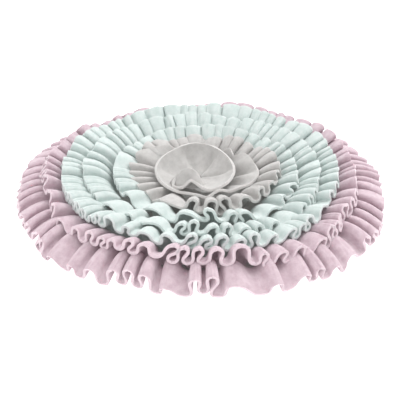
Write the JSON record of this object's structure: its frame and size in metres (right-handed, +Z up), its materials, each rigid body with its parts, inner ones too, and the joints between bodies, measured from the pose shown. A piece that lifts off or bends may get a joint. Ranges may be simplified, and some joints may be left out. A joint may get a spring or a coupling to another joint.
{
  "type": "snuffle mat",
  "caption": "Round ruffled fleece foraging mat: gathered strips sewn in overlapping rings on a cloth disc, with a spiral rosette in the middle.",
  "frame": {"origin": "centre of the base cloth's underside, on the floor", "axes": "+Z up through the thickness, -Y towards the side with the cup's low lip, +X to the right seen from there"},
  "size_m": [0.439, 0.4384, 0.0573],
  "materials": {
    "base_cloth": "matte woven cloth",
    "pink_fleece": "soft matte fleece",
    "mint_fleece": "soft matte fleece",
    "grey_fleece": "soft matte fleece"
  },
  "bodies": {
    "root": {"base_cloth": "base_cloth", "ruffle_pink_outer": "pink_fleece", "ruffle_pink_inner": "pink_fleece", "ruffle_mint_outer": "mint_fleece", "ruffle_mint_middle": "mint_fleece", "ruffle_mint_inner": "mint_fleece", "ruffle_grey": "grey_fleece"}
  },
  "joints": []
}
